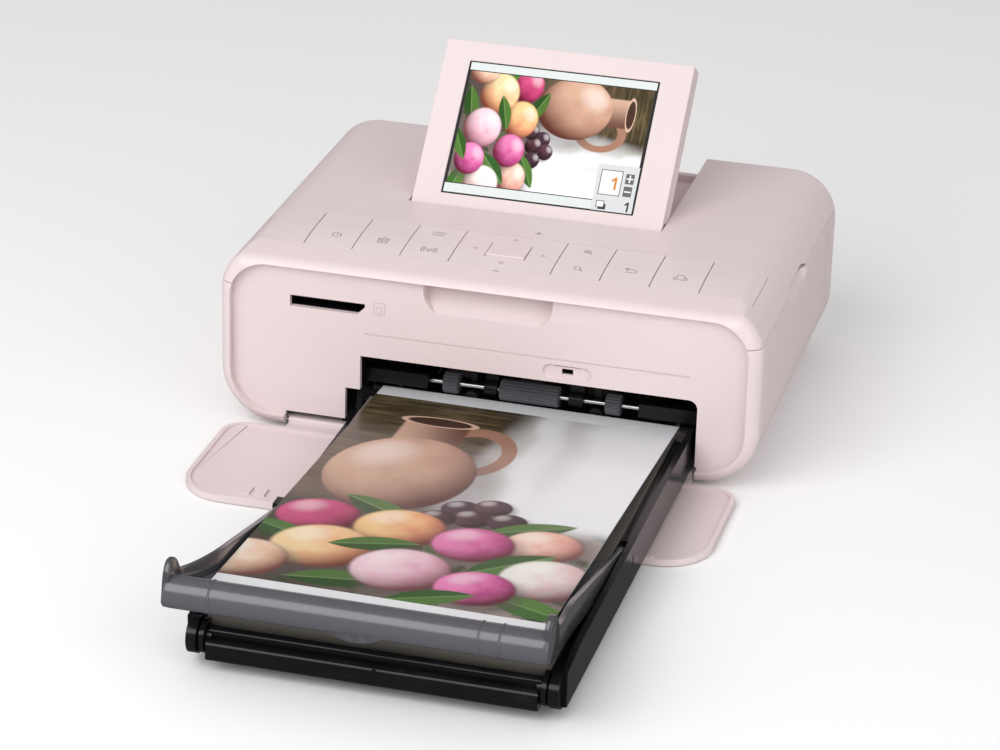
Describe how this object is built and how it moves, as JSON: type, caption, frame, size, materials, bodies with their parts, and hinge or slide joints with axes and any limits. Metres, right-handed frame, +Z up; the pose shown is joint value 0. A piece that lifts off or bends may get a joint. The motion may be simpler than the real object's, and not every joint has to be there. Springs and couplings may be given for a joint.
{
  "type": "compact photo printer",
  "caption": "Compact photo printer with paper cassette fitted, tilting display raised and front door down; keys, doors, cover and feed rollers move.",
  "frame": {"origin": "middle of the whole object's outline on the surface it stands on", "axes": "+Z up, +Y towards the rear wall, the cassette and the front door point to -Y, +X to the right as seen from the front"},
  "size_m": [0.1806, 0.306, 0.1063],
  "materials": {
    "pink_shell": "satin",
    "pink_keys": "satin",
    "black_plastic": "glossy",
    "smoke_plastic": "glossy, translucent",
    "steel": "satin",
    "roller_rubber": "matt",
    "dark_rubber": "matt",
    "circuit_board": "satin",
    "mat_rubber": "matt",
    "gear_plastic": "satin",
    "brass": "satin",
    "screen": "glossy",
    "photo_paper": "glossy",
    "plain_paper": "matt",
    "ribbon_plastic": "satin",
    "gold_film": "glossy"
  },
  "bodies": {
    "base": {"top_cover": "pink_shell", "main_case": "pink_shell", "rear_cover": "pink_shell", "front_fascia": "pink_shell", "key_panel": "pink_shell", "key_board": "circuit_board", "key_mat": "mat_rubber", "mouth_frame": "black_plastic", "card_reader": "black_plastic", "door_catch": "black_plastic", "dc_jack": "black_plastic", "main_board": "circuit_board", "chassis": "steel", "drive_motor": "steel", "motor_bracket": "steel", "ribbon_shell": "ribbon_plastic", "paper_guide": "ribbon_plastic", "ink_door_pins": "steel", "door_pins": "steel", "display_pins": "steel", "feet": "dark_rubber", "case_screws": "steel"},
    "display": {"display_frame": "pink_shell", "display_back": "pink_shell", "lcd_glass": "screen", "lcd_module": "steel"},
    "cassette": {"cassette_base": "black_plastic", "inner_lid": "smoke_plastic", "pressure_plate": "steel", "paper_stack": "plain_paper", "printed_sheet": "photo_paper"},
    "cover": {"outer_cover": "smoke_plastic"},
    "front_door_body": {"front_door": "pink_shell"},
    "side_door": {"ink_door": "pink_shell"},
    "gimbal": {"nav_gimbal": "gear_plastic"},
    "nav": {"nav_plate": "pink_keys"},
    "ok": {"key_ok": "pink_keys"},
    "feed": {"feed_shaft": "steel", "feed_rollers": "roller_rubber", "feed_gear": "gear_plastic"},
    "idler": {"idler_gear": "gear_plastic"},
    "platen": {"platen_roller": "roller_rubber", "platen_gear": "gear_plastic"},
    "rotor": {"motor_shaft": "steel", "motor_pinion": "brass"},
    "capstan": {"capstan_roller": "steel"},
    "pinch": {"pinch_roller": "roller_rubber"},
    "head": {"thermal_head": "steel"},
    "supply": {"supply_spool": "gold_film"},
    "takeup": {"takeup_spool": "ribbon_plastic"},
    "power_key": {"key_power": "pink_keys"},
    "home_key": {"key_home": "pink_keys"},
    "menu_key": {"key_menu": "pink_keys"},
    "wireless_key": {"key_wireless": "pink_keys"},
    "zoom_in_key": {"key_zoom_in": "pink_keys"},
    "zoom_out_key": {"key_zoom_out": "pink_keys"},
    "back_key": {"key_back": "pink_keys"},
    "print_key": {"key_print": "pink_keys"}
  },
  "joints": [
    {"name": "display_tilt", "type": "hinge", "parent": "base", "child": "display", "pos_m": [0.0005, 0.0831, 0.0591], "axis": [1, 0, 0], "range_deg": [-46.1, 0]},
    {"name": "cassette_slide", "type": "slide", "parent": "base", "child": "cassette", "axis": [0, -1, 0], "range_m": [0, 0.03]},
    {"name": "outer_cover_hinge", "type": "hinge", "parent": "cassette", "child": "cover", "pos_m": [0.012, -0.05749, 0.0122], "axis": [-1, 0, 0], "range_deg": [0, 115], "deforming": ["printed_sheet"]},
    {"name": "front_door_hinge", "type": "hinge", "parent": "base", "child": "front_door_body", "pos_m": [0, 0.0245, 0.0026], "axis": [-1, 0, 0], "range_deg": [0, 1]},
    {"name": "side_door_hinge", "type": "hinge", "parent": "base", "child": "side_door", "pos_m": [0.0847, 0.0805, 0.0096], "axis": [0, 1, 0], "range_deg": [0, 85]},
    {"name": "nav_rock_x", "type": "hinge", "parent": "base", "child": "gimbal", "pos_m": [0.00045, 0.04666, 0.0578], "axis": [1, 0, 0], "range_deg": [-1.2, 1.2], "stiffness_Nm_per_rad": 0.6},
    {"name": "nav_rock_y", "type": "hinge", "parent": "gimbal", "child": "nav", "pos_m": [0.00045, 0.04666, 0.0578], "axis": [0, 1, 0], "range_deg": [-1.2, 1.2], "stiffness_Nm_per_rad": 0.6},
    {"name": "ok_press", "type": "slide", "parent": "base", "child": "ok", "axis": [0, 0, -1], "range_m": [0, 0.0004], "stiffness_N_per_m": 1500},
    {"name": "head_lift", "type": "hinge", "parent": "base", "child": "head", "pos_m": [0.01, 0.10851, 0.0468], "axis": [-1, 0, 0], "range_deg": [0, 3], "stiffness_Nm_per_rad": 1},
    {"name": "power_press", "type": "slide", "parent": "base", "child": "power_key", "axis": [0, 0, -1], "range_m": [0, 0.0004], "stiffness_N_per_m": 1500},
    {"name": "home_press", "type": "slide", "parent": "base", "child": "home_key", "axis": [0, 0, -1], "range_m": [0, 0.0004], "stiffness_N_per_m": 1500},
    {"name": "menu_press", "type": "slide", "parent": "base", "child": "menu_key", "axis": [0, 0, -1], "range_m": [0, 0.0004], "stiffness_N_per_m": 1500},
    {"name": "wireless_press", "type": "slide", "parent": "base", "child": "wireless_key", "axis": [0, 0, -1], "range_m": [0, 0.0004], "stiffness_N_per_m": 1500},
    {"name": "zoom_in_press", "type": "slide", "parent": "base", "child": "zoom_in_key", "axis": [0, 0, -1], "range_m": [0, 0.0004], "stiffness_N_per_m": 1500},
    {"name": "zoom_out_press", "type": "slide", "parent": "base", "child": "zoom_out_key", "axis": [0, 0, -1], "range_m": [0, 0.0004], "stiffness_N_per_m": 1500},
    {"name": "back_press", "type": "slide", "parent": "base", "child": "back_key", "axis": [0, 0, -1], "range_m": [0, 0.0004], "stiffness_N_per_m": 1500},
    {"name": "print_press", "type": "slide", "parent": "base", "child": "print_key", "axis": [0, 0, -1], "range_m": [0, 0.0004], "stiffness_N_per_m": 1500},
    {"name": "platen_spin", "type": "hinge", "parent": "base", "child": "platen", "pos_m": [0.01, 0.07851, 0.02], "axis": [1, 0, 0], "continuous": true},
    {"name": "feed_spin", "type": "hinge", "parent": "base", "child": "feed", "pos_m": [0.01, 0.03451, 0.0192], "axis": [1, 0, 0], "continuous": true},
    {"name": "idler_spin", "type": "hinge", "parent": "base", "child": "idler", "pos_m": [-0.052, 0.0545, 0.01956], "axis": [1, 0, 0], "continuous": true},
    {"name": "motor_spin", "type": "hinge", "parent": "base", "child": "rotor", "pos_m": [-0.052, 0.09251, 0.03131], "axis": [1, 0, 0], "continuous": true},
    {"name": "capstan_spin", "type": "hinge", "parent": "base", "child": "capstan", "pos_m": [0.01, 0.05801, 0.0228], "axis": [1, 0, 0], "continuous": true},
    {"name": "pinch_spin", "type": "hinge", "parent": "base", "child": "pinch", "pos_m": [0.01, 0.05801, 0.0292], "axis": [1, 0, 0], "continuous": true},
    {"name": "supply_spin", "type": "hinge", "parent": "base", "child": "supply", "pos_m": [0.01, 0.0665, 0.038], "axis": [1, 0, 0], "continuous": true},
    {"name": "takeup_spin", "type": "hinge", "parent": "base", "child": "takeup", "pos_m": [0.01, 0.09051, 0.038], "axis": [1, 0, 0], "continuous": true}
  ],
  "couplings": [
    {"joint": "feed_spin", "follows": "platen_spin", "ratio": 1.5},
    {"joint": "idler_spin", "follows": "platen_spin", "ratio": -1},
    {"joint": "motor_spin", "follows": "platen_spin", "ratio": -2},
    {"joint": "capstan_spin", "follows": "platen_spin", "ratio": 1.9672},
    {"joint": "pinch_spin", "follows": "platen_spin", "ratio": -1.9672},
    {"joint": "supply_spin", "follows": "platen_spin", "ratio": -1},
    {"joint": "takeup_spin", "follows": "platen_spin", "ratio": -1.3636}
  ]
}
